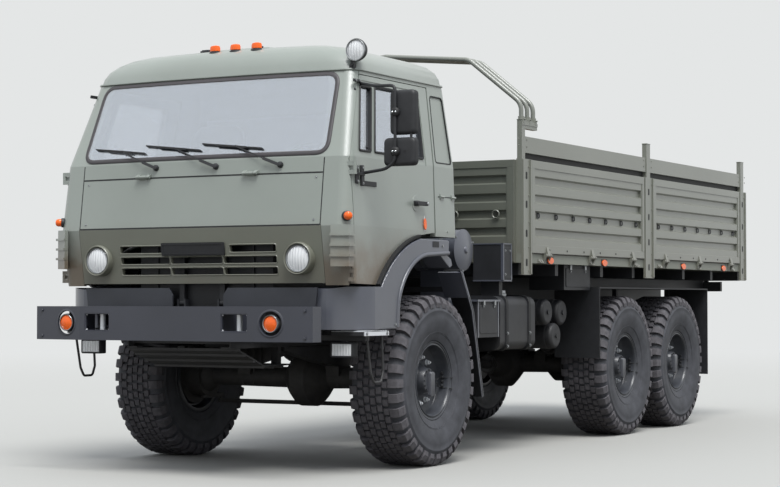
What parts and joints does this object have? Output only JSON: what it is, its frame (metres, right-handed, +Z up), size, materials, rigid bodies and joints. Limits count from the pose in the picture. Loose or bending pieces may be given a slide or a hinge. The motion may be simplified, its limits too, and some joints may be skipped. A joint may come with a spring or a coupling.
{
  "type": "cargo truck",
  "caption": "Cab-over all-wheel-drive military cargo truck with a tilting cab, drop-side cargo bed, stake posts, stowed canopy bows and a spare wheel behind the cab.",
  "frame": {"origin": "on the ground at the middle of the truck's length and width", "axes": "+Y towards the rear, +X towards the truck's left side, +Z up"},
  "size_m": [3.0146, 8.641, 3.2239],
  "materials": {
    "olive_paint": "matt",
    "grey_paint": "matt",
    "black_paint": "satin",
    "tyre": "matt",
    "rim_black": "satin",
    "glass": "clear",
    "lamp": "clear",
    "floor_board": "satin",
    "seat_fabric": "matt",
    "black_plastic": "matt",
    "cast_iron": "rough",
    "steel": "satin"
  },
  "bodies": {
    "chassis": {"chassis_frame": "black_paint", "cross_members": "black_paint", "frame_brackets": "black_paint", "front_bumper": "grey_paint", "front_aprons": "black_paint", "engine": "cast_iron", "axles": "cast_iron", "leaf_springs": "black_paint", "driveline": "black_paint", "tanks": "grey_paint", "equipment_boxes": "grey_paint", "air_cleaner": "olive_paint", "mudguards": "black_plastic", "entry_steps": "black_paint", "chassis_lamps": "lamp", "bed_floor": "olive_paint", "bed_posts": "olive_paint", "upper_boards": "olive_paint", "bed_front_wall": "olive_paint", "canopy_bows": "steel", "front_wings": "grey_paint", "spare_wheel": "tyre"},
    "cab": {"cab_front": "olive_paint", "windscreen": "glass", "grille_panel": "olive_paint", "cab_lamps": "lamp", "cab_sides": "olive_paint", "cab_rear_wall": "olive_paint", "cab_floor": "olive_paint", "cab_roof": "olive_paint", "corner_deflectors": "olive_paint", "seats": "seat_fabric", "dashboard": "black_plastic"},
    "front_flap": {"front_flap": "olive_paint"},
    "tie_rod": {"tie_rod": "steel"},
    "tailgate": {"tailgate": "olive_paint"},
    "door_left": {"door_left": "olive_paint", "door_glass_left": "glass", "mirrors_left": "black_plastic"},
    "knuckle_left": {"steering_knuckle_left": "cast_iron"},
    "side_board_left_front": {"side_board_left_front": "olive_paint"},
    "side_board_left_rear": {"side_board_left_rear": "olive_paint"},
    "wheel_front_left": {"tyre_front_left": "tyre", "rim_front_left": "rim_black"},
    "wheel_middle_left": {"tyre_middle_left": "tyre", "rim_middle_left": "rim_black"},
    "wheel_rear_left": {"tyre_rear_left": "tyre", "rim_rear_left": "rim_black"},
    "door_right": {"door_right": "olive_paint", "door_glass_right": "glass", "mirrors_right": "black_plastic"},
    "knuckle_right": {"steering_knuckle_right": "cast_iron"},
    "side_board_right_front": {"side_board_right_front": "olive_paint"},
    "side_board_right_rear": {"side_board_right_rear": "olive_paint"},
    "wheel_front_right": {"tyre_front_right": "tyre", "rim_front_right": "rim_black"},
    "wheel_middle_right": {"tyre_middle_right": "tyre", "rim_middle_right": "rim_black"},
    "wheel_rear_right": {"tyre_rear_right": "tyre", "rim_rear_right": "rim_black"}
  },
  "joints": [
    {"name": "steer_left", "type": "hinge", "parent": "chassis", "child": "knuckle_left", "pos_m": [0.6925, -2.6505, 0.618], "axis": [0, 0, 1], "range_deg": [-27, 27]},
    {"name": "steer_right", "type": "hinge", "parent": "chassis", "child": "knuckle_right", "pos_m": [-0.9075, -2.6505, 0.618], "axis": [0, 0, 1], "range_deg": [-27, 27]},
    {"name": "tie_rod_pivot", "type": "hinge", "parent": "knuckle_left", "child": "tie_rod", "pos_m": [0.6925, -2.4455, 0.416], "axis": [0, 0, 1], "range_deg": [-27, 27]},
    {"name": "wheel_front_left", "type": "hinge", "parent": "knuckle_left", "child": "wheel_front_left", "pos_m": [0.9175, -2.6505, 0.618], "axis": [1, 0, 0], "continuous": true},
    {"name": "wheel_front_right", "type": "hinge", "parent": "knuckle_right", "child": "wheel_front_right", "pos_m": [-1.1325, -2.6505, 0.618], "axis": [1, 0, 0], "continuous": true},
    {"name": "wheel_middle_left", "type": "hinge", "parent": "chassis", "child": "wheel_middle_left", "pos_m": [0.9175, 1.0395, 0.618], "axis": [1, 0, 0], "continuous": true},
    {"name": "wheel_middle_right", "type": "hinge", "parent": "chassis", "child": "wheel_middle_right", "pos_m": [-1.1325, 1.0395, 0.618], "axis": [1, 0, 0], "continuous": true},
    {"name": "wheel_rear_left", "type": "hinge", "parent": "chassis", "child": "wheel_rear_left", "pos_m": [0.9175, 2.3595, 0.618], "axis": [1, 0, 0], "continuous": true},
    {"name": "wheel_rear_right", "type": "hinge", "parent": "chassis", "child": "wheel_rear_right", "pos_m": [-1.1325, 2.3595, 0.618], "axis": [1, 0, 0], "continuous": true},
    {"name": "cab_tilt", "type": "hinge", "parent": "chassis", "child": "cab", "pos_m": [-0.1075, -3.8465, 1.18], "axis": [1, 0, 0], "range_deg": [0, 45]},
    {"name": "door_left", "type": "hinge", "parent": "cab", "child": "door_left", "pos_m": [1.1205, -3.8535, 1.9], "axis": [0, 0, -1], "range_deg": [0, 70]},
    {"name": "door_right", "type": "hinge", "parent": "cab", "child": "door_right", "pos_m": [-1.3355, -3.8535, 1.9], "axis": [0, 0, 1], "range_deg": [0, 70]},
    {"name": "flap_lift", "type": "hinge", "parent": "cab", "child": "front_flap", "pos_m": [-0.1075, -3.9535, 2.07], "axis": [-1, 0, 0], "range_deg": [0, 75]},
    {"name": "side_board_left_front", "type": "hinge", "parent": "chassis", "child": "side_board_left_front", "pos_m": [1.1545, 0.1495, 1.56], "axis": [0, 1, 0], "range_deg": [0, 170]},
    {"name": "side_board_left_rear", "type": "hinge", "parent": "chassis", "child": "side_board_left_rear", "pos_m": [1.1545, 2.8495, 1.56], "axis": [0, 1, 0], "range_deg": [0, 170]},
    {"name": "side_board_right_front", "type": "hinge", "parent": "chassis", "child": "side_board_right_front", "pos_m": [-1.3695, 0.1495, 1.56], "axis": [0, -1, 0], "range_deg": [0, 170]},
    {"name": "side_board_right_rear", "type": "hinge", "parent": "chassis", "child": "side_board_right_rear", "pos_m": [-1.3695, 2.8495, 1.56], "axis": [0, -1, 0], "range_deg": [0, 170]},
    {"name": "tailgate_drop", "type": "hinge", "parent": "chassis", "child": "tailgate", "pos_m": [-0.1075, 4.3065, 1.56], "axis": [-1, 0, 0], "range_deg": [0, 170]}
  ],
  "couplings": [
    {"joint": "steer_right", "follows": "steer_left", "ratio": 1},
    {"joint": "tie_rod_pivot", "follows": "steer_left", "ratio": -1}
  ]
}
